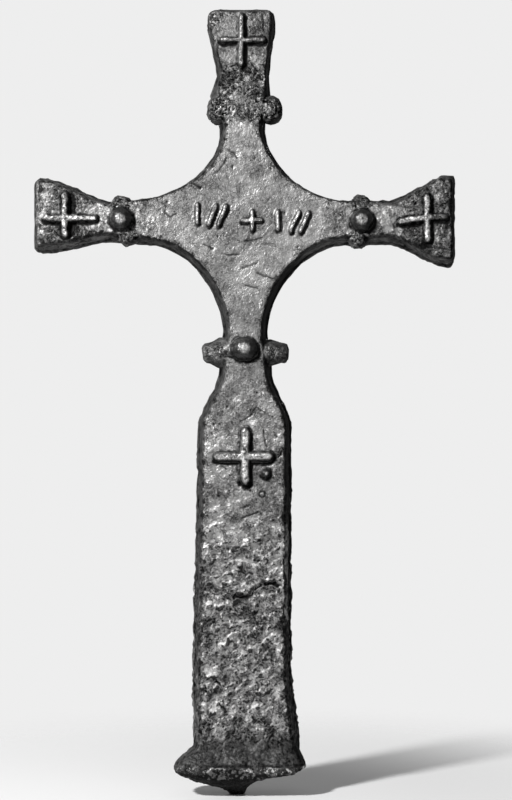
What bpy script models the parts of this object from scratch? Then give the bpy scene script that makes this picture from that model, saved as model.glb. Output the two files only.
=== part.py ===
"""Cast-iron grave cross: shaft, two arms and a top, with flared ends, beaded collars,
raised crosses and marks, and a flared foot that ends in a broken stub."""

import math

import bmesh
import bpy
from mathutils import Matrix, Vector

# Sizes are in metres. X runs to the viewer's right and Z up, and the front faces -Y.
# X = 0 is the middle of the shaft, and Z = 0 the flat under the stub.
# A pair of sizes is (left, right), because the casting isn't symmetrical.
# A reach is how far an edge lies from X = 0.

# Heights of the upright, stacked from the stub to the top edge
STUB_HEIGHT = 0.0215
SHAFT_HEIGHT = 0.2730
SHOULDER_HEIGHT = 0.0370
LOWER_NECK_HEIGHT = 0.0345
LOWER_CORNER_HEIGHT = 0.0710
ARM_HEIGHT = 0.0350
UPPER_CORNER_HEIGHT = 0.0560
UPPER_NECK_HEIGHT = 0.0280
TOP_WAIST_HEIGHT = 0.0155
TOP_FLARE_HEIGHT = 0.0535

# Reach of the upright's two edges at those heights
FOOT_REACH = (0.0408, 0.0442)
SHAFT_LOW_REACH = (0.0408, 0.0378)
SHAFT_REACH = (0.0370, 0.0380)
LOWER_NECK_REACH = (0.0206, 0.0230)
LOWER_CORNER_REACH = (0.0168, 0.0190)
UPPER_CORNER_REACH = (0.0190, 0.0168)
UPPER_NECK_REACH = (0.0270, 0.0214)
TOP_WAIST_REACH = (0.0214, 0.0202)
TOP_REACH = (0.0297, 0.0252)
FOOT_SPREAD_HEIGHT = 0.0725
TOP_ROUND = 0.0100

# Arms: reach of the hollow corners, of the flare's start and of the end
LOWER_ROOT_REACH = (0.0760, 0.0810)
UPPER_ROOT_REACH = (0.0950, 0.0800)
FLARE_REACH = (0.1070, 0.1180)
ARM_REACH = (0.1680, 0.1692)
# Run of the flared end whose edges are straight
FLARE_END = (0.0100, 0.0090)
# How far the flared end passes the arm's lower and upper edge
LOWER_FLARE = (0.0090, 0.0178)
UPPER_FLARE = (0.0185, 0.0200)
# How far the arm narrows beyond the hollow corners, at its lower and upper edge
LOWER_NARROWING = (0.0022, 0.0000)
UPPER_NARROWING = (0.0004, -0.0004)
END_ROUND = 0.0075

# Section of the casting, from the back plate to the narrower front face
THICKNESS = 0.0300
BACK_PLATE = 0.0080
BACK_CHAMFER = 0.0012
LEDGE = 0.0016
DRAFT = 0.0026
FACE_BEVEL = 0.0022
FACE_BEVEL_DEPTH = 0.0026
# How wide the sloping wall is, from the arms' roots up, as a share of its usual width
LOWER_ROOT_WALL = (0.60, 0.90)
UPPER_ROOT_WALL = (0.45, 0.45)
UPPER_CORNER_WALL = (0.85, 0.75)
UPPER_NECK_WALL = (1.20, 0.85)
TOP_WAIST_WALL = (0.65, 0.60)
TOP_WALL = (0.35, 0.60)

# Foot: a skirt that spreads beyond the shaft, and the stub broken off under its rim
SKIRT_HEIGHT = 0.0225
SKIRT_SPREAD = (0.0150, 0.0052)
SKIRT_FORWARD = 0.0085
SKIRT_BACK_STEP = 0.0010
# How round the corners of its level sections are, as a share of the shorter side
SECTION_ROUND = 0.42
STUB_FLAT_WIDTH = 0.0116
STUB_FLAT_DEPTH = 0.0130
STUB_FLAT_SHIFT = 0.0048

# Collars: beads on both edges and one on the face
BEAD_RADIUS = 0.0090
FACE_BEAD_RISE = 0.0085
ARM_COLLAR_REACH = (0.0970, 0.0930)
ARM_COLLAR_SLANT = (0.0055, 0.0025)
LOWER_ARM_BEAD_OVERHANG = 0.0048
UPPER_ARM_BEAD_OVERHANG = 0.0032
SHAFT_COLLAR_DROP = 0.0158
SHAFT_BEAD_OVERHANG = (0.0145, 0.0145)
# Half height of those beads at the neck and near their end
SHAFT_BEAD_ROOT = (0.0126, 0.0110)
SHAFT_BEAD_END = 0.0082
# How much deeper than high they are, and how far forward of the plate's middle
SHAFT_BEAD_DEPTH = 1.18
SHAFT_BEAD_FORWARD = 0.0012
SHAFT_FACE_BEAD_RADIUS = 0.0110
SHAFT_FACE_BEAD_LIFT = 0.0030
BEAD_END_ROUND = 0.0040
TOP_COLLAR_RISE = 0.0142
TOP_BEAD_RADIUS = 0.0105
TOP_BEAD_DEPTH = 0.0088
TOP_BEAD_HEIGHT = 0.0122
TOP_BEAD_OVERHANG = (0.0068, 0.0120)
# A drop of iron that stuck to the mould beside the shaft's cross
DROP_RADIUS = 0.0034
DROP_SHIFT = 0.0175
DROP_FALL = 0.0132

# Raised crosses: reach of the four bars from the crossing (up, down, left, right)
RELIEF_SINK = 0.0020
# A bar's end: how far along, in shares of its width, and how full its section is there
BAR_END = ((0.0, 0.55), (0.3, 0.92), (0.5, 1.0))
# How boxy its section is: 1 is a half circle, and less is flatter on top
BAR_SHAPE = 0.6
SHAFT_CROSS_REACH = (0.0232, 0.0224, 0.0248, 0.0220)
SHAFT_CROSS_WIDTH = 0.0086
SHAFT_CROSS_RISE = 0.0042
SHAFT_CROSS_FALL = 0.0262
SHAFT_CROSS_SHIFT = 0.0010
TOP_CROSS_REACH = (0.0206, 0.0209, 0.0173, 0.0190)
TOP_CROSS_WIDTH = 0.0046
TOP_CROSS_RISE = 0.0028
TOP_CROSS_FALL = 0.0284
TOP_CROSS_SHIFT = -0.0018
END_CROSS_REACH = (
    (0.0205, 0.0157, 0.0173, 0.0252),
    (0.0181, 0.0197, 0.0236, 0.0165),
)
END_CROSS_WIDTH = 0.0060
END_CROSS_RISE = 0.0030
END_CROSS_INSET = (0.0272, 0.0246)
END_CROSS_LIFT = (0.0016, 0.0024)
# How far the inner end of the right arm's level bar hangs down
END_CROSS_DROOP = 0.0036
MIDDLE_CROSS_REACH = (0.0083, 0.0087, 0.0094, 0.0087)
MIDDLE_CROSS_SHIFT = 0.0065

# Level bars beside the upright ones: share of their width and of their rise
LEVEL_BAR_WIDTH = 0.96
LEVEL_BAR_RISE = 0.90

# Row of raised marks: place beside the middle cross, and how far each leans over
MARK_PLACES = (-0.0433, -0.0315, -0.0236, 0.0201, 0.0335, 0.0413)
MARK_LEANS = (0.0, 0.0068, 0.0068, 0.0, 0.0068, 0.0068)
MARK_WIDTH = 0.0040
MARK_RISE = 0.0024
MARK_HEIGHT = 0.0174
MARK_LIFT = 0.0016
MARK_SLOPE = 0.075

# How finely the curves are stepped
ROUND_STEPS = 5
CORNER_STEPS = 13
SWEEP_STEPS = 8
BEAD_SIDES = 14
BAR_SIDES = 7
# How hollow the corners are: 2 is an ellipse, and less is nearer to a straight cut
LOWER_CORNER_SHAPE = (1.82, 1.82)
UPPER_CORNER_SHAPE = (1.95, 1.75)
# How straight the outline's sweeps are: 0 is a soft S curve, and 1 a straight line
SWEEP_STRAIGHTNESS = 0.55

# Levels and faces that follow from the sizes
RIM_Z = STUB_HEIGHT
SHOULDER_Z = RIM_Z + SHAFT_HEIGHT
NECK_Z = SHOULDER_Z + SHOULDER_HEIGHT
LOWER_CORNER_Z = NECK_Z + LOWER_NECK_HEIGHT
ARM_LOW_Z = LOWER_CORNER_Z + LOWER_CORNER_HEIGHT
ARM_TOP_Z = ARM_LOW_Z + ARM_HEIGHT
ARM_Z = (ARM_LOW_Z + ARM_TOP_Z) / 2
UPPER_CORNER_Z = ARM_TOP_Z + UPPER_CORNER_HEIGHT
TOP_NECK_Z = UPPER_CORNER_Z + UPPER_NECK_HEIGHT
TOP_WAIST_Z = TOP_NECK_Z + TOP_WAIST_HEIGHT
TOP_Z = TOP_WAIST_Z + TOP_FLARE_HEIGHT
FRONT_Y = -THICKNESS / 2
BACK_Y = THICKNESS / 2
FACE_INSET = LEDGE + DRAFT + FACE_BEVEL

LEFT, RIGHT = 0, 1
SIGN = (-1, 1)


def clear_scene():
    for item in list(bpy.data.objects):
        bpy.data.objects.remove(item, do_unlink=True)


def iron(name, colour, roughness, metallic):
    """Corroded iron, dark grey and dull."""
    material = bpy.data.materials.new(name)
    material.use_nodes = True
    shader = material.node_tree.nodes["Principled BSDF"]
    shader.inputs["Base Color"].default_value = (*colour, 1.0)
    shader.inputs["Roughness"].default_value = roughness
    shader.inputs["Metallic"].default_value = metallic
    return material


def soft(share):
    """Share of a soft S curve, level at both ends."""
    return share * share * (3 - 2 * share)


def swept(share):
    """Share of a sweep in the outline, between a soft S curve and a straight line."""
    return soft(share) + (share - soft(share)) * SWEEP_STRAIGHTNESS


def upright_run(start, end, steps=SWEEP_STEPS):
    """Edge that runs upright and moves sideways in a sweep. Leaves out its end point."""
    run = []
    for step in range(steps):
        share = step / steps
        across = start[0] + (end[0] - start[0]) * swept(share)
        run.append((across, start[1] + (end[1] - start[1]) * share))
    return run


def level_run(start, end, steps=SWEEP_STEPS):
    """Edge that runs level and moves up or down in a sweep. Leaves out its end point."""
    turned = upright_run(start[::-1], end[::-1], steps)
    return [point[::-1] for point in turned]


def hollow_corner(neck, root, hollow):
    """Hollow corner, upright at the neck and level at the arm's root."""
    run = []
    for step in range(CORNER_STEPS + 1):
        turn = math.pi / 2 * step / CORNER_STEPS
        across = max(math.cos(turn), 0.0) ** (2 / hollow)
        rise = math.sin(turn) ** (2 / hollow)
        run.append((
            root[0] + (neck[0] - root[0]) * across,
            neck[1] + (root[1] - neck[1]) * rise,
        ))
    return run


def round_corner(before, corner, after, radius):
    """Outside corner, turned in a curve that starts and ends a radius from it."""
    corner = Vector(corner)
    first = corner.lerp(Vector(before), radius / (Vector(before) - corner).length)
    last = corner.lerp(Vector(after), radius / (Vector(after) - corner).length)
    run = []
    for step in range(ROUND_STEPS + 1):
        share = step / ROUND_STEPS
        run.append(tuple(first.lerp(corner, share).lerp(corner.lerp(last, share), share)))
    return run


def arm_edges(side, inset):
    """Heights of an arm's lower and upper edge, and of its flared end's corners."""
    low = ARM_LOW_Z + LOWER_NARROWING[side] + inset
    high = ARM_TOP_Z - UPPER_NARROWING[side] - inset
    return low, high, low - LOWER_FLARE[side], high + UPPER_FLARE[side]


def half_outline(side, inset):
    """One half of the front outline, from the foot up to the corner of the top."""
    sign = SIGN[side]

    def at(reach, height, wall=(1.0, 1.0)):
        return sign * (reach[side] - inset * wall[side]), height

    low, high, end_low, end_high = arm_edges(side, inset)
    end_x = sign * (ARM_REACH[side] - inset)
    straight_x = end_x - sign * FLARE_END[side]
    flare_x = sign * FLARE_REACH[side]
    lower_root_z = ARM_LOW_Z + inset * LOWER_ROOT_WALL[side]
    upper_root_z = ARM_TOP_Z - inset * UPPER_ROOT_WALL[side]
    lower_root = (sign * LOWER_ROOT_REACH[side], lower_root_z)
    upper_root = (sign * UPPER_ROOT_REACH[side], upper_root_z)
    lower_neck = at(LOWER_CORNER_REACH, LOWER_CORNER_Z)
    upper_corner = at(UPPER_CORNER_REACH, UPPER_CORNER_Z, UPPER_CORNER_WALL)
    upper_hollow = hollow_corner(upper_corner, upper_root, UPPER_CORNER_SHAPE[side])
    upper_neck = at(UPPER_NECK_REACH, TOP_NECK_Z, UPPER_NECK_WALL)
    waist = at(TOP_WAIST_REACH, TOP_WAIST_Z, TOP_WAIST_WALL)
    skirt_z = RIM_Z + SKIRT_HEIGHT
    spread_z = RIM_Z + FOOT_SPREAD_HEIGHT
    top_z = TOP_Z - inset
    top_side = at(TOP_REACH, top_z - TOP_ROUND, TOP_WALL)
    top_corner = at(TOP_REACH, top_z, TOP_WALL)
    end_round = max(END_ROUND - inset, END_ROUND / 4)
    top_round = max(TOP_ROUND - inset, TOP_ROUND / 4)
    return [
        at(FOOT_REACH, RIM_Z),
        *upright_run(at(FOOT_REACH, skirt_z), at(SHAFT_LOW_REACH, spread_z), 5),
        *upright_run(at(SHAFT_LOW_REACH, spread_z), at(SHAFT_REACH, SHOULDER_Z), 4),
        *upright_run(at(SHAFT_REACH, SHOULDER_Z), at(LOWER_NECK_REACH, NECK_Z)),
        *upright_run(at(LOWER_NECK_REACH, NECK_Z), lower_neck, 3),
        *hollow_corner(lower_neck, lower_root, LOWER_CORNER_SHAPE[side]),
        *level_run(lower_root, (flare_x, low), 3)[1:],
        *level_run((flare_x, low), (straight_x, end_low)),
        *round_corner((straight_x, end_low), (end_x, end_low), (end_x, end_high), end_round),
        *round_corner((end_x, end_low), (end_x, end_high), (straight_x, end_high), end_round),
        *level_run((straight_x, end_high), (flare_x, high)),
        *level_run((flare_x, high), upper_root, 3),
        *reversed(upper_hollow),
        *upright_run(upper_corner, upper_neck, 4)[1:],
        *upright_run(upper_neck, waist, 4),
        *upright_run(waist, top_side, 5),
        *round_corner(top_side, top_corner, (0.0, top_z), top_round),
    ]


def outline(inset):
    """Closed front outline, drawn in by inset, anticlockwise as the viewer sees it."""
    return half_outline(RIGHT, inset) + half_outline(LEFT, inset)[::-1]


def mesh_object(name, shape, material):
    """Object with the finished shape as its mesh, its faces turned out."""
    bmesh.ops.recalc_face_normals(shape, faces=shape.faces)
    mesh = bpy.data.meshes.new(name)
    shape.to_mesh(mesh)
    shape.free()
    mesh.materials.append(material)
    item = bpy.data.objects.new(name, mesh)
    bpy.context.collection.objects.link(item)
    return item


def add_loft(shape, rings):
    """Closed skin over rings that all have as many points, capped at both ends."""
    loops = [[shape.verts.new(point) for point in ring] for ring in rings]
    count = len(loops[0])
    for lower, upper in zip(loops, loops[1:]):
        for index in range(count):
            following = (index + 1) % count
            shape.faces.new((lower[index], lower[following], upper[following], upper[index]))
    shape.faces.new(loops[0][::-1])
    shape.faces.new(loops[-1])


def plate_shape():
    """The plate: full width behind, a ledge, a drafted wall and a bevelled front face."""
    ledge_y = BACK_Y - BACK_PLATE
    bevel_y = FRONT_Y + FACE_BEVEL_DEPTH
    layers = (
        (BACK_CHAMFER, BACK_Y),
        (0.0, BACK_Y - BACK_CHAMFER),
        (0.0, ledge_y),
        (LEDGE, ledge_y - LEDGE / 2),
        (LEDGE + DRAFT, bevel_y),
        (LEDGE + DRAFT + FACE_BEVEL / 2, bevel_y - FACE_BEVEL_DEPTH * 2 / 3),
        (FACE_INSET, FRONT_Y),
    )
    shape = bmesh.new()
    add_loft(shape, [[(x, y, z) for x, z in outline(inset)] for inset, y in layers])
    return shape


def slab_ring(edges, height):
    """Level ring with round corners. Its edges are left, right, front and back."""
    left, right, front, back = edges
    corner = min(right - left, back - front) * SECTION_ROUND
    centres = (
        (right - corner, back - corner),
        (left + corner, back - corner),
        (left + corner, front + corner),
        (right - corner, front + corner),
    )
    ring = []
    for quarter, (x, y) in enumerate(centres):
        for step in range(ROUND_STEPS):
            turn = math.pi / 2 * (quarter + step / (ROUND_STEPS - 1))
            ring.append((x + corner * math.cos(turn), y + corner * math.sin(turn), height))
    return ring


def blend(start, end, shares):
    return [low + (high - low) * share for low, high, share in zip(start, end, shares)]


def foot_shape():
    """Skirt that spreads down to a rim, and under it the stub left by the break."""
    hidden = FACE_INSET / 2
    shaft = (
        -FOOT_REACH[LEFT] + hidden,
        FOOT_REACH[RIGHT] - hidden,
        FRONT_Y + hidden / 4,
        BACK_Y - SKIRT_BACK_STEP * 1.5,
    )
    rim = (
        -FOOT_REACH[LEFT] - SKIRT_SPREAD[LEFT],
        FOOT_REACH[RIGHT] + SKIRT_SPREAD[RIGHT],
        FRONT_Y - SKIRT_FORWARD,
        BACK_Y - SKIRT_BACK_STEP,
    )
    flat = (
        -STUB_FLAT_WIDTH / 2 - STUB_FLAT_SHIFT,
        STUB_FLAT_WIDTH / 2 - STUB_FLAT_SHIFT,
        -STUB_FLAT_DEPTH / 2,
        STUB_FLAT_DEPTH / 2,
    )
    rings = []
    for step in range(SWEEP_STEPS):
        share = step / (SWEEP_STEPS - 1)
        edges = blend(shaft, rim, [soft(share)] * 4)
        rings.append(slab_ring(edges, RIM_Z + SKIRT_HEIGHT * (1 - share)))
    # Shares of the way from the rim to the flat: height, left, right, front and back
    breaks = (
        (0.19, 0.06, 0.18, 0.04, 0.05),
        (0.36, 0.27, 0.66, 0.14, 0.20),
        (0.54, 0.53, 0.86, 0.32, 0.42),
        (0.73, 0.86, 0.96, 0.62, 0.70),
        (0.88, 0.97, 0.995, 0.88, 0.92),
        (1.00, 1.00, 1.00, 1.00, 1.00),
    )
    for drop, *shares in breaks:
        rings.append(slab_ring(blend(rim, flat, shares), RIM_Z * (1 - drop)))
    shape = bmesh.new()
    add_loft(shape, rings)
    return shape


def add_bead(shape, place, radii):
    """Round or oval bead about its centre."""
    made = bmesh.ops.create_uvsphere(shape, u_segments=BEAD_SIDES, v_segments=9, radius=1.0)
    spread = Matrix.Translation(place) @ Matrix.Diagonal((*radii, 1.0))
    bmesh.ops.transform(shape, matrix=spread, verts=made["verts"])


def add_face_bead(shape, x, z, radii, rise):
    add_bead(shape, (x, FRONT_Y - rise + radii[1], z), radii)


def add_barrel(shape, neck_x, end_x, z, root):
    """Bead that lies level: thick where it leaves the neck, with a rounded end."""
    out = math.copysign(1.0, end_x)
    thinned_x = neck_x + out * BEAD_RADIUS
    round_x = end_x - out * BEAD_END_ROUND
    # Half height along it: in the plate, at the neck, where it has thinned, and round the end
    profile = [
        (neck_x - out * BEAD_RADIUS, root),
        (neck_x, root),
        ((neck_x + thinned_x) / 2, (root + SHAFT_BEAD_END) / 2),
        (thinned_x, SHAFT_BEAD_END),
    ]
    for turn in (0.0, math.pi / 6, math.pi / 3, math.pi / 2):
        x = round_x + out * BEAD_END_ROUND * math.sin(turn)
        profile.append((x, SHAFT_BEAD_END - BEAD_END_ROUND * (1 - math.cos(turn))))
    turns = [2 * math.pi * index / BEAD_SIDES for index in range(BEAD_SIDES)]
    rings = []
    for x, reach in profile:
        depth = reach * SHAFT_BEAD_DEPTH
        rings.append([
            (x, depth * math.cos(turn) - SHAFT_BEAD_FORWARD, z + reach * math.sin(turn))
            for turn in turns
        ])
    add_loft(shape, rings)


def add_bar(shape, start, end, width, rise):
    """Half-round raised bar on the face, from start to end, each an (x, z) point."""
    along = Vector((end[0] - start[0], 0.0, end[1] - start[1]))
    length = along.length
    along.normalize()
    across = Vector((-along.z, 0.0, along.x))
    base = Vector((start[0], FRONT_Y + RELIEF_SINK, start[1]))
    tip = [(width * place, fullness) for place, fullness in BAR_END]
    stations = tip + [(length - place, fullness) for place, fullness in reversed(tip)]
    rings = []
    for place, fullness in stations:
        ring = []
        for index in range(BAR_SIDES):
            turn = math.pi * index / (BAR_SIDES - 1)
            lift = (RELIEF_SINK + rise * fullness) * max(math.sin(turn), 0.0) ** BAR_SHAPE
            side = across * (width / 2 * fullness * math.cos(turn))
            ring.append(base + along * place + side - Vector((0.0, lift, 0.0)))
        rings.append(ring)
    add_loft(shape, rings)


def collar_level():
    return LOWER_CORNER_Z - SHAFT_COLLAR_DROP


def face_bead_shape():
    """Beads that stand on the front face, one in the middle of each whole collar."""
    shape = bmesh.new()
    wide = SHAFT_FACE_BEAD_RADIUS
    shaft_z = collar_level() + SHAFT_FACE_BEAD_LIFT
    add_face_bead(shape, 0.0, shaft_z, (wide, BEAD_RADIUS, BEAD_RADIUS), FACE_BEAD_RISE)
    for side in (LEFT, RIGHT):
        low, high, _, _ = arm_edges(side, 0.0)
        x = SIGN[side] * ARM_COLLAR_REACH[side]
        add_face_bead(shape, x, (low + high) / 2, [BEAD_RADIUS] * 3, FACE_BEAD_RISE)
    drop_z = SHOULDER_Z - SHAFT_CROSS_FALL - DROP_FALL
    add_face_bead(shape, DROP_SHIFT, drop_z, [DROP_RADIUS] * 3, DROP_RADIUS)
    return shape


def edge_bead_shape():
    """Beads on the edges of the neck, of both arms and under the top."""
    shape = bmesh.new()
    for side in (LEFT, RIGHT):
        sign = SIGN[side]
        neck = (LOWER_CORNER_REACH[side] + LOWER_NECK_REACH[side]) / 2
        end_x = sign * (neck + SHAFT_BEAD_OVERHANG[side])
        add_barrel(shape, sign * neck, end_x, collar_level(), SHAFT_BEAD_ROOT[side])
        top_neck = (UPPER_CORNER_REACH[side] + UPPER_NECK_REACH[side]) / 2
        top_x = sign * (top_neck + TOP_BEAD_OVERHANG[side] - TOP_BEAD_RADIUS)
        top_z = UPPER_CORNER_Z + TOP_COLLAR_RISE
        top_radii = (TOP_BEAD_RADIUS, TOP_BEAD_DEPTH, TOP_BEAD_HEIGHT)
        add_bead(shape, (top_x, FRONT_Y / 2, top_z), top_radii)
        low, high, _, _ = arm_edges(side, 0.0)
        x = sign * ARM_COLLAR_REACH[side]
        lower_x = x - sign * ARM_COLLAR_SLANT[side]
        upper_z = high + UPPER_ARM_BEAD_OVERHANG - BEAD_RADIUS
        lower_z = low - LOWER_ARM_BEAD_OVERHANG + BEAD_RADIUS
        add_bead(shape, (x, FRONT_Y / 2, upper_z), [BEAD_RADIUS] * 3)
        add_bead(shape, (lower_x, FRONT_Y / 2, lower_z), [BEAD_RADIUS] * 3)
    return shape


def crosses():
    """Each raised cross: crossing x and z, reach of its bars, width, rise and droop."""
    found = [
        (SHAFT_CROSS_SHIFT, SHOULDER_Z - SHAFT_CROSS_FALL,
         SHAFT_CROSS_REACH, SHAFT_CROSS_WIDTH, SHAFT_CROSS_RISE, 0.0),
        (TOP_CROSS_SHIFT, TOP_Z - TOP_CROSS_FALL,
         TOP_CROSS_REACH, TOP_CROSS_WIDTH, TOP_CROSS_RISE, 0.0),
        (MIDDLE_CROSS_SHIFT, ARM_Z, MIDDLE_CROSS_REACH, MARK_WIDTH, MARK_RISE, 0.0),
    ]
    for side, droop in ((LEFT, 0.0), (RIGHT, END_CROSS_DROOP)):
        x = SIGN[side] * (ARM_REACH[side] - END_CROSS_INSET[side])
        z = ARM_Z + END_CROSS_LIFT[side]
        found.append((x, z, END_CROSS_REACH[side], END_CROSS_WIDTH, END_CROSS_RISE, droop))
    return found


def upright_bar_shape():
    """The crosses' upright bars, and the row of marks across the middle."""
    shape = bmesh.new()
    for x, z, (up, down, _, _), width, rise, _ in crosses():
        add_bar(shape, (x, z - down), (x, z + up), width, rise)
    for place, lean in zip(MARK_PLACES, MARK_LEANS):
        x = MIDDLE_CROSS_SHIFT + place
        z = ARM_Z + MARK_LIFT - place * MARK_SLOPE
        foot = (x - lean / 2, z - MARK_HEIGHT / 2)
        head = (x + lean / 2, z + MARK_HEIGHT / 2)
        add_bar(shape, foot, head, MARK_WIDTH, MARK_RISE)
    return shape


def level_bar_shape(half):
    """One half of each cross's level bar, a little lower than the upright one."""
    shape = bmesh.new()
    for x, z, (_, _, *reach), width, rise, droop in crosses():
        start = (x - SIGN[half] * width / 4, z)
        end = (x + SIGN[half] * reach[half], z - (droop if half == LEFT else 0.0))
        add_bar(shape, start, end, width * LEVEL_BAR_WIDTH, rise * LEVEL_BAR_RISE)
    return shape


def cast_on(body, name, shape, material):
    """Union of a detail with the body. The detail itself stays as a hidden guide."""
    guide = mesh_object(name, shape, material)
    guide.hide_render = True
    guide.display_type = "WIRE"
    union = body.modifiers.new(name, "BOOLEAN")
    union.operation = "UNION"
    union.solver = "EXACT"
    union.object = guide


def build():
    clear_scene()
    cast_iron = iron("cast_iron", (0.105, 0.102, 0.098), 0.62, 0.55)
    body = mesh_object("grave_cross", plate_shape(), cast_iron)
    cast_on(body, "foot_guide", foot_shape(), cast_iron)
    cast_on(body, "edge_bead_guide", edge_bead_shape(), cast_iron)
    cast_on(body, "face_bead_guide", face_bead_shape(), cast_iron)
    cast_on(body, "upright_bar_guide", upright_bar_shape(), cast_iron)
    cast_on(body, "left_bar_guide", level_bar_shape(LEFT), cast_iron)
    cast_on(body, "right_bar_guide", level_bar_shape(RIGHT), cast_iron)


build()
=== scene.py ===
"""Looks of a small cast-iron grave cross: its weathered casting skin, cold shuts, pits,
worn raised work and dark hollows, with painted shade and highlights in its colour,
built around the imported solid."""

import math

import bmesh
import bpy
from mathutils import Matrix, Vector


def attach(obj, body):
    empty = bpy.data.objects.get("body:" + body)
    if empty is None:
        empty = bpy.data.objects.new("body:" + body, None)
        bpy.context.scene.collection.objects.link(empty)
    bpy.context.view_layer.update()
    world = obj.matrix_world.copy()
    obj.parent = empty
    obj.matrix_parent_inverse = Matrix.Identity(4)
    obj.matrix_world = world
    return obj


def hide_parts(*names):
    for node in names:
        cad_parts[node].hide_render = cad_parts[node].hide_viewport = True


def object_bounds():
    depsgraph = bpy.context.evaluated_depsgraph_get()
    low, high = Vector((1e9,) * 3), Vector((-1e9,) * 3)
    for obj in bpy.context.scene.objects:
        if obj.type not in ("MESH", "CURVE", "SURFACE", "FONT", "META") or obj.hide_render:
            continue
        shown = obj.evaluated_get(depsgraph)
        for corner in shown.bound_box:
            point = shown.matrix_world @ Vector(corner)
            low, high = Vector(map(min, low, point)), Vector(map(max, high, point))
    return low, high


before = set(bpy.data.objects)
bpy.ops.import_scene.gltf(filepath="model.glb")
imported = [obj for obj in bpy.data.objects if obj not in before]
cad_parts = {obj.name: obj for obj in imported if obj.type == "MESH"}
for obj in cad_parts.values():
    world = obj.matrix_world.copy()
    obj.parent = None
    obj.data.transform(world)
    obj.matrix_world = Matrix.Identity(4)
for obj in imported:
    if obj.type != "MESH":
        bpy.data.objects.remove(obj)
solid_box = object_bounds()

# The cross is one iron casting, poured face down in an open sand mould. The mould left a
# lumpy skin with cold shuts where the iron folded over itself, and long weather pitted
# and flaked it. It is made from the solid: remeshed fine, then worked over by a node tree.
MM = 0.001
FACE_Y = -15.0
RIM_Z = 21.5
FOOT_Z = 44.0
BEAD_RADIUS = 9.0
DROP_RADIUS = 3.4
BLISTER_RADIUS = 2.3
BAR_RISE = 2.6
SHAFT_BAR_RISE = 4.0
FOLD_LEAN = 35
DEPTHS = {"Skin depth": 1.0, "Groove depth": 0.7}
FINE_STEP = 0.82
KEPT_TRIANGLES = 190000
BOX_MARGIN = (0.25, 0.15, 0.15)

# Where the skin changes along the cross, in millimetres. Each pair is a soft step, from
# where there is none of it to where there is all of it
SHAFT = (345.0, 300.0)
LOW_SHAFT = (265.0, 150.0)
RIPPLED_SHAFT = (170.0, 110.0)
DARK_FOOT = (56.0, 38.0)
SMOOTH_FOOT = (50.0, 38.0)
RIM_FROM = (14.0, 15.5)
RIM_TO = (25.0, 23.6)
ARMS = (55.0, 80.0)
LEFT_END = (-108.0, -132.0)
LEFT_SLOPE = (-158.5, -166.0)
RIGHT_END = (112.0, 132.0)
TOP_END = (575.0, 595.0)
TOP_RIGHT = (1.0, 7.0)
PATCH_FROM = (526.0, 536.0)
PATCH_TO = (582.0, 570.0)
ROW_LEFT = (-45.0, -38.0)
ROW_RIGHT = (58.0, 52.0)
ROW_FROM = (434.0, 440.0)
ROW_TO = (474.0, 468.0)
BACK = (13.4, 14.2)

# How wide the marks are: none of one past the first distance from its line, all of it
# within the second
CRACK_WIDTH = (1.2, 0.4)
SHUT_WIDTH = (1.2, 0.0)
FOLD_WIDTH = (2.7, 0.9)
PIT_WIDTH = (1.7, 0.7)
BLOWHOLE_WIDTH = (4.0, 1.8)
RING_WIDTH = (1.3, 0.5)
RIDGE_WIDTH = (1.3, 0.5)
POCKET_WIDTH = (3.2, 1.8)
LOBE_WIDTH = (5.6, 3.6)
LUMP_WIDTH = (9.5, 6.5)
GROOVE_WIDTH = (2.4, 0.9)
SHADE_WIDTH = (2.9, 1.5)

# Lines on the front face, each a run of places in millimetres across and up
LINES = {
    "Hair cracks": (
        ((-3, 296), (5, 300), (10, 307), (14, 304)),
        ((15, 289), (17, 277)),
        ((-24, 491), (-20, 493), (-16, 499), (-14, 503)),
        ((-42, 484), (-34, 480)),
        ((-12, 510), (-8, 508), (-5, 503)),
        ((-64, 468), (-61, 465), (-62, 460), (-58, 457), (-53, 459)),
        ((-32, 436), (-24, 432)),
        ((-17, 428), (-11, 427), (-3, 428)),
        ((1, 438), (8, 439), (14, 441)),
        ((-1, 417), (10, 420)),
        ((-10, 576), (-5, 578)),
        ((6, 579), (10, 573)),
        ((14, 618), (16, 604)),
        ((10, 413), (17, 410), (25, 408)),
        ((1, 403), (10, 401)),
        ((-1, 220), (11, 225)),
        ((-3, 228), (5, 230)),
        ((120.6, 455), (117.4, 452), (118.6, 448.4)),
    ),
    "Cold shuts": (
        ((-33, 202), (-25, 199), (-14, 196), (-5, 196), (3, 198), (5, 199)),
        ((-16, 158), (-10, 155)),
        ((-34, 139), (-22, 138)),
        ((-21, 98), (-22, 91), (-17, 85), (-16, 83)),
        ((-27, 77), (-28, 65), (-27, 55)),
        ((22, 266), (27, 268), (32, 273)),
        ((6, 551), (11, 548), (21, 548)),
        ((-18, 549), (-12, 550), (-9, 546), (-2, 543), (3, 546), (3, 551)),
    ),
    "Deep folds": (
        ((-7, 158), (0, 156), (6, 159), (10, 164), (16, 167), (21, 169), (28, 166)),
    ),
    # Ridges raised a little and painted bright as highlights
    "Lit ridges": (
        ((34, 214), (33.6, 190), (34.4, 165), (34.0, 140)),
        ((19, 182), (21, 176), (18, 170)),
        ((-4, 161), (1, 163)),
    ),
    # Pockets beside the raised work, sunk a little and painted dark as shade
    "Pockets": (
        ((-134.8, 474), (-134.6, 444)),
        ((140, 434), (147, 434)),
        ((-3, 246.5), (5, 246.5)),
    ),
    "Smooth lobes": (
        ((-6, 552), (-1, 548)),
    ),
    # The beads on the edges, and last a burnt corner
    "Rough lumps": (
        ((-97, 466), (-97, 475)),
        ((-91, 443), (-91, 435)),
        ((93, 467), (93, 475)),
        ((90, 441), (90, 433)),
        ((-30, 542), (-20, 542)),
        ((20, 542), (31, 542)),
        ((-32, 350), (-23, 350)),
        ((25, 350), (34, 350)),
        ((-30, 612), (-23, 617)),
    ),
    "Long beads": (
        ((-2.0, 353.2), (2.0, 353.2)),
    ),
}
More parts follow.
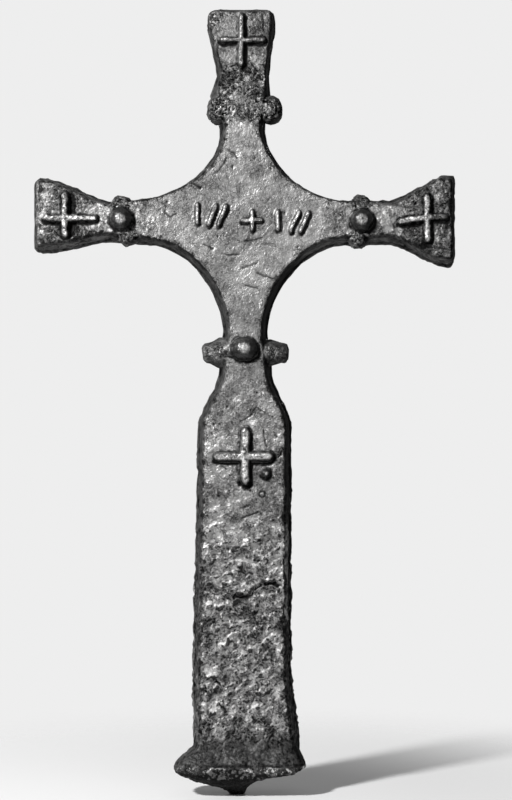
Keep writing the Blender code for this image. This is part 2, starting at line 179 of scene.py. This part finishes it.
# Dots on the front face, in millimetres across and up
DOTS = {
    "Pits": (
        (-12, 307), (11, 319), (-9, 295), (-23, 294), (-25, 286), (25, 284), (-29, 230),
        (-9, 497), (-34, 480), (-20, 442), (9, 504), (21, 495), (-61, 469), (43, 433),
        (32, 460), (5, 127), (9, 128),
    ),
    "Blowholes": ((-7, 50),),
    "Blisters": ((14.3, 239),),
    "Round beads": ((-97.0, 455.4), (93.0, 454.7)),
    "Drops": ((18.5, 255.1),),
}


class Field:
    """A socket with arithmetic: an expression on fields adds its Math nodes."""

    def __init__(self, tree, socket=None):
        self.tree = tree
        self.socket = socket

    def add(self, kind, settings=None, values=None, out=0):
        """One node of that kind. Settings come first, then its sockets' values or links."""
        node = self.tree.nodes.new(kind)
        for name, value in (settings or {}).items():
            setattr(node, name, value)
        for name, value in (values or {}).items():
            if isinstance(value, Field):
                self.tree.links.new(value.socket, node.inputs[name])
            else:
                node.inputs[name].default_value = value
        return Field(self.tree, node.outputs[out])

    def math(self, operation, *values):
        sockets = dict(enumerate(values))
        return self.add("ShaderNodeMath", {"operation": operation}, sockets)

    def vector(self, operation, *values, out=0):
        sockets = dict(enumerate(values))
        return self.add("ShaderNodeVectorMath", {"operation": operation}, sockets, out)

    def times(self, factor):
        """A vector made longer or shorter."""
        return self.add(
            "ShaderNodeVectorMath", {"operation": "SCALE"}, {"Vector": self, "Scale": factor}
        )

    def parts(self):
        split = self.add("ShaderNodeSeparateXYZ", None, {"Vector": self})
        outputs = split.socket.node.outputs
        return [Field(self.tree, outputs[axis]) for axis in "XYZ"]

    def joined(self, x, y, z):
        return self.add("ShaderNodeCombineXYZ", None, {"X": x, "Y": y, "Z": z})

    def between(self, low, high, start=0.0, end=1.0):
        """Soft step: start below low, end above high. With low over high it is turned."""
        return self.add(
            "ShaderNodeMapRange",
            {"interpolation_type": "SMOOTHSTEP"},
            {"Value": self, "From Min": low, "From Max": high, "To Min": start, "To Max": end},
        )

    def noise(self, size, detail=2.0, roughness=0.5, distortion=0.0):
        """Cloudy noise from 0 to 1 over a place, with lumps of that size."""
        return self.add("ShaderNodeTexNoise", None, {
            "Vector": self, "Scale": 1 / size, "Detail": detail,
            "Roughness": roughness, "Distortion": distortion,
        })

    def domes(self, size):
        """How far a place is from the middle of its lump, for lumps of that size."""
        return self.add("ShaderNodeTexVoronoi", None, {"Vector": self, "Scale": 1 / size})

    def __add__(self, other):
        return self.math("ADD", self, other)

    def __sub__(self, other):
        return self.math("SUBTRACT", self, other)

    def __rsub__(self, other):
        return self.math("SUBTRACT", other, self)

    def __mul__(self, other):
        return self.math("MULTIPLY", self, other)

    def largest(self, other):
        return self.math("MAXIMUM", self, other)

    def smallest(self, other):
        return self.math("MINIMUM", self, other)

    __radd__ = __add__
    __rmul__ = __mul__


def guide_on_face(name, runs):
    """Edges or points on the front face, read by the tree for how near a place is."""
    shape = bmesh.new()
    for run in runs:
        points = [shape.verts.new((x * MM, FACE_Y * MM, z * MM)) for x, z in run]
        for start, end in zip(points, points[1:]):
            shape.edges.new((start, end))
    mesh = bpy.data.meshes.new(name)
    shape.to_mesh(mesh)
    shape.free()
    guide = bpy.data.objects.new(name, mesh)
    bpy.context.scene.collection.objects.link(guide)
    return guide


def named_inputs(tree):
    """Inputs of the skin's tree, for its guides and depths, and the fields they give."""
    tree.interface.new_socket("Geometry", in_out="INPUT", socket_type="NodeSocketGeometry")
    for name in (*LINES, *DOTS):
        tree.interface.new_socket(name, in_out="INPUT", socket_type="NodeSocketObject")
    for name in DEPTHS:
        tree.interface.new_socket(name, in_out="INPUT", socket_type="NodeSocketFloat")
    tree.interface.new_socket("Geometry", in_out="OUTPUT", socket_type="NodeSocketGeometry")
    source = tree.nodes.new("NodeGroupInput")
    return {output.name: Field(tree, output) for output in source.outputs if output.name}


def stored(root, geometry, name, value):
    """The geometry with a value kept at each of its points under a name."""
    return root.add(
        "GeometryNodeStoreNamedAttribute", {"data_type": "FLOAT", "domain": "POINT"},
        {"Geometry": geometry, "Name": name, "Value": value},
    )


def blurred(root, rounds):
    """Each point's place, evened out with its neighbours'."""
    return root.add(
        "GeometryNodeBlurAttribute", {"data_type": "FLOAT_VECTOR"},
        {"Value": root.add("GeometryNodeInputPosition"), "Iterations": rounds},
    )


def scattered(place, size, reach):
    """Vector that wanders up to about that reach from one lump to the next."""
    cloud = place.add("ShaderNodeTexNoise", None, {
        "Vector": place, "Scale": 1 / size, "Detail": 2.0,
    }, out=1)
    return cloud.vector("SUBTRACT", cloud, (0.5, 0.5, 0.5)).times(2 * reach)


def ways_to_marks(root, given, position, place):
    """How far each place lies from each mark, in millimetres. What tore has a ragged edge,
    and beads and drops a true one."""

    def way(name, sampled):
        found = root.add(
            "GeometryNodeObjectInfo", {"transform_space": "RELATIVE"}, {"Object": given[name]}
        )
        shape = Field(root.tree, found.socket.node.outputs["Geometry"])
        near = root.add(
            "GeometryNodeProximity",
            {"target_element": "EDGES" if name in LINES else "POINTS"},
            {"Geometry": shape, "Sample Position": sampled},
        )
        return Field(root.tree, near.socket.node.outputs["Distance"]) * (1 / MM)

    x, _, z = place.parts()
    on_face = root.joined(x * MM, FACE_Y * MM, z * MM)
    bent = position.vector("ADD", position, scattered(place, 6.0, 1.3 * MM))
    torn = position.vector("ADD", position, scattered(place, 3.4, 2.4 * MM))
    ragged = torn.vector("ADD", torn, scattered(place, 7.0, 3.0 * MM))
    uneven = (place.noise(7.0, 1.0) - 0.5) * 4.0
    beads = way("Long beads", on_face).smallest(way("Round beads", on_face))
    drops = way("Drops", on_face) + (BEAD_RADIUS - DROP_RADIUS)
    return {
        "crack": way("Hair cracks", bent) + uneven * 0.18,
        "shut": way("Cold shuts", torn) + uneven,
        "fold": way("Deep folds", ragged) + uneven * 0.9,
        "pit": way("Pits", torn),
        "blowhole": way("Blowholes", on_face),
        "blister": way("Blisters", on_face),
        "ridge": way("Lit ridges", on_face) + uneven * 0.15,
        "pocket": way("Pockets", torn) + uneven * 0.2,
        "lobe": way("Smooth lobes", on_face) + uneven * 0.3,
        "lump": way("Rough lumps", on_face),
        "bead": beads.smallest(drops) - BEAD_RADIUS,
        "drop": drops,
    }


def way_to_raised(root, geometry, raised, place):
    """How far a place lies from the raised work, in millimetres. The work is read a little
    to the right and low, so that its groove and the painted shadow beside it are widest
    on the side away from the lamp."""
    islands = root.add(
        "GeometryNodeSeparateGeometry", {"domain": "FACE"},
        {"Geometry": geometry, "Selection": raised.math("GREATER_THAN", raised, 0.5)},
    )
    shifted = root.add("GeometryNodeTransform", None, {
        "Geometry": islands, "Translation": (0.6 * MM, 0.0, -1.2 * MM),
    })
    near = root.add(
        "GeometryNodeProximity", {"target_element": "FACES"}, {"Geometry": shifted}
    )
    way = Field(root.tree, near.socket.node.outputs["Distance"]) * (1 / MM)
    return way + (place.noise(5.0, 1.0) - 0.5) * 2.4


def skin_of_sand(root, place, coarse, low_shaft, top_patch, rough_front, lobe):
    """How deep the skin lies: broad and small lumps, which lower down are folded over each
    other, rising to the right."""
    x, y, z = place.parts()
    wander = place.noise(26.0, 2.0) - 0.5
    lumps = place.noise(12.0, 3.0, 0.55) - 0.5
    knobs = place.noise(4.6, 2.0, 0.6) - 0.5
    lean = math.radians(FOLD_LEAN)
    along = x * math.cos(lean) + z * math.sin(lean)
    across = z * math.cos(lean) - x * math.sin(lean)
    stretched = root.joined(along * 0.6, y * 0.6, across)
    torn_lumps = stretched.vector("ADD", stretched, scattered(place, 5.0, 2.6))
    folded = torn_lumps.domes(11.0) - 0.4
    crumpled = torn_lumps.domes(5.2) - 0.4
    small = place.vector("ADD", place, scattered(place, 3.0, 1.6)).domes(3.6) - 0.4
    cells = place.noise(5.2, 3.0, 0.6, 0.4) - 0.5
    cells = 0.09 - cells.math("ABSOLUTE", cells)
    ripples = root.joined(along * 0.28, y * 0.3, across).noise(4.4, 2.0, 0.6) - 0.5
    skin = 1.1 * wander + (3.4 * lumps + 3.6 * knobs + 0.9 * small) * coarse
    skin = skin + (3.4 * folded + 2.1 * crumpled) * low_shaft * rough_front
    skin = skin + 10.0 * cells * top_patch * rough_front * (1 - lobe)
    return skin + 1.8 * ripples * z.between(*RIPPLED_SHAFT) * rough_front - 0.5 * lobe


def kept_in_box(moved):
    """A place held a little inside the solid's box."""
    low, high = solid_box
    margin = Vector(BOX_MARGIN) * MM
    moved = moved.vector("MAXIMUM", moved, tuple(Vector(low) + margin))
    return moved.vector("MINIMUM", moved, tuple(Vector(high) - margin))


def casting_tree(material):
    """Sinks and raises the solid's skin into that of an old sand casting."""
    tree = bpy.data.node_groups.new("casting_skin", "GeometryNodeTree")
    given = named_inputs(tree)
    root = Field(tree)
    position = root.add("GeometryNodeInputPosition")
    normal = root.add("GeometryNodeInputNormal")
    place = position.times(1 / MM)
    x, y, z = place.parts()
    turned_right, turned_back, turned_up = normal.parts()
    facing = turned_back * -1.0

    # The skirt runs out of the shaft in a soft curve
    crease = z.between(FOOT_Z - 16, FOOT_Z - 4) * z.between(FOOT_Z + 22, FOOT_Z + 4)
    eased = blurred(root, 90)
    eased = eased.vector("SUBTRACT", eased, position).times(crease * facing.between(0.2, 0.6))
    worked = root.add("GeometryNodeSetPosition", None, {
        "Geometry": given["Geometry"], "Offset": eased,
    })

    # Raised work: bars, beads and the drop, which stand out from the face plane
    way = ways_to_marks(root, given, position, place)
    above_foot = z.between(FOOT_Z + 2, FOOT_Z + 9)
    on_front = y.between(FACE_Y + 3.0, FACE_Y + 0.6)
    raised = y.between(FACE_Y - 0.35, FACE_Y - 1.0) * above_foot
    proud = y.between(FACE_Y - 0.05, FACE_Y - 0.5) * above_foot
    lump = way["lump"].between(*LUMP_WIDTH)
    bead = way["bead"].between(2.6, 1.6) * y.between(FACE_Y - 0.1, FACE_Y - 0.7)
    # A ring of painted shade where the beads meet the face
    bead_ring_shade = way["bead"].between(2.0, 0.8) * on_front * (1 - proud)
    # The tops of the beads and the drop: a worn patch, painted bright as a highlight
    drop_top = way["drop"].between(7.2, 6.4)
    rubbed = y.between(FACE_Y - 7.0, FACE_Y - 8.2).largest(drop_top) * bead
    bar_rise = z.between(320.0, 300.0, BAR_RISE, SHAFT_BAR_RISE)
    in_row = x.between(*ROW_LEFT) * x.between(*ROW_RIGHT)
    in_row = in_row * z.between(*ROW_FROM) * z.between(*ROW_TO)
    top = y.math("DIVIDE", FACE_Y - y, bar_rise) + 0.15 * in_row
    top = top.between(0.30, 0.80) * above_foot * (1 - bead)

    # The groove that rust ate beside it, with a painted shadow over it, darkest on the side
    # away from the lamp
    beside_way = way_to_raised(root, worked, raised, place) + in_row * 0.9
    beside = (1 - proud) * (1 - lump) * on_front * above_foot * facing.between(0.78, 0.94)
    groove = beside_way.between(*GROOVE_WIDTH) * beside
    shade = beside_way.between(*SHADE_WIDTH) * beside
    # The raised work's flanks that face down and right, away from the lamp, get painted shade
    shadow_side = normal.vector("DOT_PRODUCT", normal, (0.5, 0.0, -0.87), out=1)
    painted_flank_shade = proud * (1 - top) * (1 - bead) * (1 - lump) * shadow_side.between(-0.3, 0.4, 0.45, 1.0)
    # Dark pockets beside the raised work: shallow real hollows with painted shade in them
    pocket = way["pocket"].between(*POCKET_WIDTH) * on_front * (1 - proud)

    # Damage on the flat of the face
    crack = way["crack"].between(*CRACK_WIDTH) * on_front
    shut = way["shut"].between(*SHUT_WIDTH) * on_front
    fold = way["fold"].between(*FOLD_WIDTH) * on_front * (1 - proud)
    pit = way["pit"].between(*PIT_WIDTH) * on_front
    hole = way["blowhole"].between(*BLOWHOLE_WIDTH) * on_front
    ring = way["blister"] - BLISTER_RADIUS
    ring = ring.math("ABSOLUTE", ring).between(*RING_WIDTH) * on_front
    ridge = way["ridge"].between(*RIDGE_WIDTH) * y.between(-6.0, -9.0)
    lobe = way["lobe"].between(*LOBE_WIDTH) * on_front

    # Where the skin is rough: down the shaft, in the lost collar's place, on the lumps
    low_shaft = z.between(*LOW_SHAFT)
    shaft = z.between(*SHAFT)
    foot = z.between(*SMOOTH_FOOT)
    rim = z.between(*RIM_FROM) * z.between(*RIM_TO)
    stub = z.between(RIM_Z - 2.0, RIM_Z - 8.0)
    top_patch = z.between(*PATCH_FROM) * z.between(*PATCH_TO) * on_front
    top_right = z.between(*TOP_END) * x.between(*TOP_RIGHT)
    left_end = x.between(*LEFT_END)
    right_end = x.between(*RIGHT_END)
    arms = x.math("ABSOLUTE", x).between(*ARMS)
    walls = 1 - facing.between(0.3, 0.8)
    coarse = 0.12 + 0.30 * shaft + 0.58 * low_shaft + 0.70 * top_patch + 0.55 * lump
    coarse = coarse + 0.36 * arms + 0.20 * left_end + 0.36 * right_end + 0.25 * top_right
    coarse = coarse.smallest(1.0) * (1 - 0.45 * foot) * (1 - 0.7 * lobe)

    # Where it is darker in tone, and how far it faces the front: the face is worn light and
    # the walls are left dark, partly as painted shade where they turn from the lamp
    dim = (0.34 * top_patch).largest(0.40 * right_end)
    dim = dim.largest(0.40 * left_end).largest(0.40 * z.between(*TOP_END))
    dim = dim.largest(0.10 * z.between(470.0, 490.0)).largest(0.56 * top_right)
    dim = dim - 0.16 * x.between(30.0, 60.0) * (1 - right_end) - 0.10 * shaft - 0.08 * low_shaft
    toward = 0.25 * facing.between(0.35, 0.62) + 0.75 * facing.between(0.80, 0.95)
    # Front faces set back behind the face plate are painted darker, as the shade it casts
    toward = toward * (1 - 0.6 * y.between(-9.0, -3.0))

    # Painted light on edges: the arms' lower ledges, which lie in shade, and a lit band on
    # the left end
    ledge = turned_up.between(-0.25, -0.5) * y.between(-11.5, -9.5) * y.between(5.0, 2.0)
    ledge = ledge * z.between(420.0, 426.0) * place.noise(15.0, 2.0).between(0.36, 0.52) * 0.45
    band = 0.45 * x.between(-154.5, -156.5) * x.between(-164.5, -162.5) * on_front

    # All that is dark: cracks, shuts, folds, pits, holes and rings as dark as they are deep,
    # and the painted shadow and shade beside the raised work, on its flanks, round the beads
    # and in the pockets
    dark = shade.largest(0.85 * painted_flank_shade).largest(pocket).largest(0.9 * bead_ring_shade)
    dark = dark.largest(0.9 * fold).largest(0.85 * shut).largest(0.85 * crack)
    dark = dark.largest(0.7 * pit).largest(0.35 * hole).largest(0.9 * ring)
    top_wear = (1 + 0.5 * right_end) * (1 - 0.7 * x.between(146.0, 149.0))
    top_wear = top_wear * (1 - 0.4 * z.between(575.0, 590.0))
    # The break under the skirt is painted near black as the shade under it; its edge rises in the
    # middle
    hump = 3.5 * x.between(-34.0, -20.0) * x.between(8.0, -6.0)
    stub_shade_line = z - hump + (place.noise(9.0, 2.0) - 0.5) * 6.0
    marks = {
        "top": top * top_wear * (1 - lump),
        "bead": bead,
        "rubbed": rubbed,
        "lump": lump,
        "dark": dark,
        "lit": ridge.largest(ledge).largest(band),
        # Upward faces, painted lighter as if lit from above
        "upward": turned_up.between(0.35, 0.8) * (1 - top) * y.between(2.0, -3.0),
        # Faces turned right, away from the lamp, painted darker as shade
        "rightward": turned_right.between(0.3, 0.8),
        "stub": stub_shade_line.between(21.0, 18.5),
        "toward": toward,
        "coarse": coarse,
        "rim": rim,
        "dim": dim,
    }
    for name, value in marks.items():
        worked = stored(root, worked, name, value)

    # The skin itself, the marks sunk in it, the worn slope along the end of the left arm,
    # and the blocky break under the foot
    rough_front = (1 - walls) * (1 - foot)
    skin = skin_of_sand(root, place, coarse, low_shaft, top_patch, rough_front, lobe)
    slope = x.between(*LEFT_SLOPE) * on_front * 2.6
    broken = (place.noise(7.0, 3.0, 0.65, 0.5) - 0.5) * stub.largest(0.6 * rim) * 4.5
    lips = way["fold"].between(5.0, 3.0) * way["fold"].between(1.6, 3.0) * on_front * 0.35
    carved = 0.35 * crack + 1.0 * shut + 2.2 * fold + 0.9 * pit + 1.2 * hole + 0.4 * ring
    carved = carved + 1.0 * pocket - lips - 0.6 * ridge
    sink = skin * given["Skin depth"] + groove * given["Groove depth"] + carved + broken + slope
    broken_bar = x.between(-147.0, -149.0) * z.between(459.0, 457.0)
    bar_skin = 0.6 * skin + (1.4 + 4.0 * broken_bar) * (place.noise(3.2, 2.0, 0.6) - 0.5)
    proud_sink = bar_skin * given["Skin depth"] * (1 - 0.9 * bead)
    depth = proud * proud_sink + (1 - proud) * sink
    depth = depth * (1 - 0.55 * facing.between(-0.85, -0.98))
    moved = position.vector("SUBTRACT", position, normal.times(depth * MM))

    # Sand moulds give no straight line: everything wanders a little along the face
    bend = scattered(place, 13.0, 1.4 * MM)
    bend = bend.vector("MULTIPLY", bend, (1.0, 0.0, 1.0))
    moved = kept_in_box(moved.vector("ADD", moved, bend))
    worked = root.add("GeometryNodeSetPosition", None, {"Geometry": worked, "Position": moved})

    # Where the worked skin bulges it is rubbed, and at its verges it is dark
    for name, rounds in (("bulge", 4), ("verge", 16)):
        spread = blurred(root, rounds)
        rise = spread.vector("SUBTRACT", position, spread)
        rise = normal.vector("DOT_PRODUCT", normal, rise, out=1) * (1 / MM)
        worked = stored(root, worked, name, rise)
    single = root.add("GeometryNodeRealizeInstances", None, {"Geometry": worked})
    finished = root.add(
        "GeometryNodeSetMaterial", None, {"Geometry": single, "Material": material}
    )
    target = tree.nodes.new("NodeGroupOutput")
    tree.links.new(finished.socket, target.inputs["Geometry"])
    return tree


OBJECT_COORDINATES = 3
ATTRIBUTE_NUMBER = 2
IRON_TINT = (1.0, 0.992, 0.984)
BARE_SHADE = 0.006
WEAR_AND_LIGHT_STEP = 0.60
DARKEST = 0.004
LIGHTEST = 0.88


def new_material(name):
    """An empty material, and the field that its nodes grow from."""
    material = bpy.data.materials.new(name)
    material.use_nodes = True
    material.node_tree.nodes.clear()
    return material, Field(material.node_tree)


def end_in(kind, shader):
    """The output node that closes a shader's tree."""
    output = shader.tree.nodes.new(kind)
    shader.tree.links.new(shader.socket, output.inputs["Surface"])


def iron_material():
    """Old iron: grey and worn on the face and raised work, near black in the hollows, with
    painted shade and painted highlights in its colour.
    """
    material, root = new_material("weathered_iron")
    place = root.add("ShaderNodeTexCoord", out=OBJECT_COORDINATES).times(1 / MM)
    y, z = place.parts()[1:]

    def mark(name):
        return root.add("ShaderNodeAttribute", {"attribute_name": name}, out=ATTRIBUTE_NUMBER)

    coarse = mark("coarse")
    toward = mark("toward")
    lump = mark("lump")
    clouds = place.noise(34.0, 3.0, 0.6)
    patches = place.noise(13.0, 3.0, 0.6)
    mottle = place.noise(6.0, 4.0, 0.68)
    speckle = place.noise(1.6, 3.0, 0.7).between(0.36, 0.64) - 0.5
    grit = place.noise(1.0, 2.0, 0.7).between(0.52, 0.66)
    grain = place.noise(0.6, 2.0, 0.6)

    # Scale that flaked off in sheets leaves a small step, dark along parts of its edge
    flakes = place.noise(24.0, 5.0, 0.6, 0.4)
    sheets = flakes.between(0.525, 0.555) + flakes.between(0.44, 0.465)
    outer = flakes - 0.538
    inner = flakes - 0.452
    edges = outer.math("ABSOLUTE", outer).smallest(inner.math("ABSOLUTE", inner))
    edges = edges.between(0.020, 0.004) * place.noise(9.0, 2.0).between(0.42, 0.58)

    # Fine dark cracks between lumps, thickest where the skin is coarse or near an edge
    verge = mark("verge").between(0.03, 0.16) * toward
    web = place.noise(6.5, 5.0, 0.7, 0.7) - 0.5
    web = web.math("ABSOLUTE", web).between(0.035, 0.006) * patches.between(0.60, 0.45)
    web = web * (coarse + 0.6 * verge).smallest(1.0)
    crumbs = verge * place.noise(3.0, 3.0, 0.65).between(0.50, 0.60)

    # How light the iron is: the face most, worn light, with the walls left dark partly as
    # painted shade; then the back, and the upper walls with painted light
    foot_dark = z.between(*DARK_FOOT)
    wear_and_painted_light = toward * (1 - 0.92 * foot_dark) + 0.34 * y.between(*BACK) + 0.22 * mark("upward")
    wear_and_painted_light = wear_and_painted_light * clouds.between(0.36, 0.62, 0.58, 1.06) * mottle.between(0.30, 0.64, 0.66, 1.08)
    wear_and_painted_light = wear_and_painted_light * (1.05 - (0.12 + 0.42 * coarse) * patches.between(0.60, 0.38))
    wear_and_painted_light = wear_and_painted_light * (1 - mark("dim")) * (1 - 0.5 * lump)
    # Painted glints on the rough lumps' fronts
    wear_and_painted_light = wear_and_painted_light + 0.5 * lump * toward * place.noise(3.2, 3.0, 0.7).between(0.53, 0.59)
    # Walls keep a mottled grey; walls turned right, away from the lamp, get painted shade
    walls = mottle.between(0.30, 0.70, 0.04, 0.34) * (1 - 0.75 * mark("rightward"))
    wear_and_painted_light = wear_and_painted_light.largest(walls) * (1 - 0.7 * mark("rightward"))

    # Raised tops worn bright, painted highlights on lit ridges and edges, bulges and the fine
    # speckle on them
    wear_and_painted_light = wear_and_painted_light + 1.0 * mark("top") * toward
    wear_and_painted_light = wear_and_painted_light + 0.9 * mark("lit") * mottle.between(0.36, 0.60, 0.3, 1.0)
    wear_and_painted_light = wear_and_painted_light + mark("bulge") * (0.5 + 0.45 * coarse)
    fine = toward * (1 - foot_dark)
    wear_and_painted_light = wear_and_painted_light + (0.28 + 0.20 * coarse) * speckle * fine - 0.20 * grit * fine
    wear_and_painted_light = wear_and_painted_light * (1 - 0.22 * foot_dark)

    # What stays dark: hollows, painted shade beside the raised work, the face's outline, the
    # skirt's lip, and the break under it, painted near black as shade
    raised = mark("top").largest(mark("bead")).largest(lump)
    outline = mark("verge").between(0.26, 0.46) * mottle.between(0.68, 0.48)
    outline = outline * (1 - raised) * toward.between(0.0, 0.25)
    wear_and_painted_light = wear_and_painted_light * (1 - 0.97 * mark("dark")) * (1 - 0.45 * edges) * (1 - 0.92 * outline)
    lip = z + (place.noise(14.0, 2.0) - 0.5) * 5.0
    lip = lip.between(24.0, 25.4) * lip.between(27.6, 26.0) * patches.between(0.42, 0.52)
    wear_and_painted_light = wear_and_painted_light * (1 - 0.8 * lip)
    wear_and_painted_light = wear_and_painted_light * (1 - 0.75 * web) * (1 - 0.75 * crumbs) * (1 - 0.96 * mark("stub"))

    # Painted glints along the skirt's rim, and the beads: dark, with a painted highlight on
    # their worn top
    painted_glints = 0.65 * place.noise(2.8, 4.0, 0.75) + 0.35 * patches
    painted_glints = mark("rim") * painted_glints.between(0.525, 0.575) * (1 - 0.8 * mark("stub"))
    wear_and_painted_light = wear_and_painted_light.largest(1.3 * painted_glints)
    # The beads are painted dark, partly as the shade on their turned-away sides
    wear_and_painted_light = wear_and_painted_light * (1 - 0.75 * mark("bead")) + 1.1 * mark("rubbed") * mottle.between(0.32, 0.5)

    # The iron's colour: its own tone, with the painted shade and highlights summed into it
    shade = (BARE_SHADE + WEAR_AND_LIGHT_STEP * wear_and_painted_light).largest(DARKEST).smallest(LIGHTEST)
    relief = (0.2 + 1.2 * coarse) * place.noise(3.4, 3.0, 0.6) + (0.06 + 0.10 * coarse) * speckle
    relief = relief + 0.02 * grain + 0.16 * sheets * (1 - lump) - 0.35 * web - 0.4 * crumbs
    bumped = root.add("ShaderNodeBump", None, {
        "Strength": 1.0, "Distance": MM, "Height": relief * (1 + 0.4 * mark("bead")),
    })
    end_in("ShaderNodeOutputMaterial", root.add("ShaderNodeBsdfPrincipled", None, {
        "Base Color": root.joined(*IRON_TINT).times(shade),
        "Metallic": 0.85,
        "Roughness": wear_and_painted_light.between(0.0, 1.0, 0.58, 0.46),
        "Coat Weight": 0.8 * mark("bead"),
        "Coat Roughness": 0.26,
        "Normal": bumped,
    }))
    return material


def fine_copy(name, node):
    """Copy of a solid's mesh, merged and remeshed fine enough to carry the skin."""
    mesh = node.data.copy()
    shape = bmesh.new()
    shape.from_mesh(mesh)
    bmesh.ops.remove_doubles(shape, verts=shape.verts, dist=0.01 * MM)
    shape.to_mesh(mesh)
    shape.free()
    mesh.materials.clear()
    item = bpy.data.objects.new(name, mesh)
    bpy.context.scene.collection.objects.link(item)
    remesh = item.modifiers.new("fine skin", "REMESH")
    remesh.mode = "VOXEL"
    remesh.voxel_size = FINE_STEP * MM
    return item


def made_plain(item):
    """Applies every modifier by taking the evaluated mesh."""
    bpy.context.view_layer.update()
    evaluated = item.evaluated_get(bpy.context.evaluated_depsgraph_get())
    mesh = bpy.data.meshes.new_from_object(evaluated)
    item.modifiers.clear()
    item.data = mesh
    return item


def thinned(item, count):
    """Fewer triangles: the walls and back give up more of theirs than the front."""
    group = item.vertex_groups.new(name="plain")
    points = item.data.vertices
    group.add([p.index for p in points if p.co.y > (FACE_Y + 3.0) * MM], 1.0, "REPLACE")
    thin = item.modifiers.new("thinned", "DECIMATE")
    thin.ratio = count / (2 * len(item.data.polygons))
    thin.vertex_group = group.name
    thin.vertex_group_factor = 1.0
    made_plain(item)
    item.vertex_groups.clear()


guides = {name: guide_on_face(name, runs) for name, runs in LINES.items()}
for name, dots in DOTS.items():
    guides[name] = guide_on_face(name, [(dot,) for dot in dots])
cross = made_plain(fine_copy("weathered_cross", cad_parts["grave_cross"]))
skin_tree = casting_tree(iron_material())
skin = cross.modifiers.new("casting skin", "NODES")
skin.node_group = skin_tree
inputs = {**guides, **DEPTHS}
for socket in skin_tree.interface.items_tree:
    if socket.name in inputs:
        skin[socket.identifier] = inputs[socket.name]
made_plain(cross)
for guide in guides.values():
    bpy.data.objects.remove(guide)
thinned(cross, KEPT_TRIANGLES)
cross.data.shade_smooth()
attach(cross, "root")
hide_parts("grave_cross")

# The floor is a studio's, pale, flat and matt. It fades out all round, so that it runs
# into the pale room with no edge.
FLOOR_REACH = 1.4
FLOOR_CLEAR = (0.08, 0.448)
FLOOR_GREY = 0.9


def floor_material():
    """Matt pale paint that gives way to nothing further out."""
    material, root = new_material("pale_floor")
    place = root.add("ShaderNodeTexCoord", out=OBJECT_COORDINATES)
    away = place.vector("LENGTH", place, out=1)
    paint = root.add("ShaderNodeBsdfDiffuse", None, {
        "Color": (FLOOR_GREY, FLOOR_GREY, FLOOR_GREY, 1.0),
    })
    clear = root.add("ShaderNodeBsdfTransparent")
    end_in("ShaderNodeOutputMaterial", root.add("ShaderNodeMixShader", None, {
        "Fac": away.between(*FLOOR_CLEAR), 1: paint, 2: clear,
    }))
    return material


bpy.ops.mesh.primitive_circle_add(vertices=96, radius=FLOOR_REACH, fill_type="NGON")
floor = bpy.context.object
floor.name = "floor"
floor.data.materials.append(floor_material())

# The light is a soft key lamp high on the left, a weak fill on the right and a soft lamp
# straight behind for the back. The room is pale, and lights the iron less than it shows.
LIT_MIDDLE = Vector((0.0, 0.0, 0.33))
SHOWN_GREY = 0.855
LIGHT_GREY = 0.80
ROOM_LIGHT = 0.14


def soft_light(name, place, size, power):
    """A round lamp turned to the middle of the cross."""
    data = bpy.data.lights.new(name, "AREA")
    data.shape = "DISK"
    data.size = size
    data.energy = power
    lamp = bpy.data.objects.new(name, data)
    bpy.context.scene.collection.objects.link(lamp)
    lamp.location = place
    lamp.rotation_euler = (LIT_MIDDLE - Vector(place)).to_track_quat("-Z", "Y").to_euler()


def room_shade(room, grey, strength):
    return room.add("ShaderNodeBackground", None, {
        "Color": (grey, grey, grey, 1.0), "Strength": strength,
    })


soft_light("key", (-0.85, -0.78, 1.05), 0.16, 25.0)
soft_light("fill", (1.2, -1.3, 0.5), 0.9, 1.5)
soft_light("back_fill", (0.0, 2.2, 0.7), 0.8, 20.0)
world = bpy.data.worlds.new("pale_room")
bpy.context.scene.world = world
world.use_nodes = True
world.node_tree.nodes.clear()
room = Field(world.node_tree)
looked_at = room.add("ShaderNodeLightPath")
end_in("ShaderNodeOutputWorld", room.add("ShaderNodeMixShader", None, {
    "Fac": looked_at,
    1: room_shade(room, LIGHT_GREY, ROOM_LIGHT),
    2: room_shade(room, SHOWN_GREY, 1.0),
}))
bpy.context.scene.view_settings.view_transform = "Standard"

# The camera stands level with the middle of the cross and a metre and a half away, as in
# the photograph.
LENS = 84.4
CAMERA_PLACE = (0.0096, -1.493, 0.3128)
camera = bpy.data.objects.new("camera", bpy.data.cameras.new("camera"))
bpy.context.scene.collection.objects.link(camera)
camera.data.lens = LENS
camera.location = CAMERA_PLACE
camera.rotation_euler = (math.radians(90), 0.0, 0.0)
bpy.context.scene.camera = camera
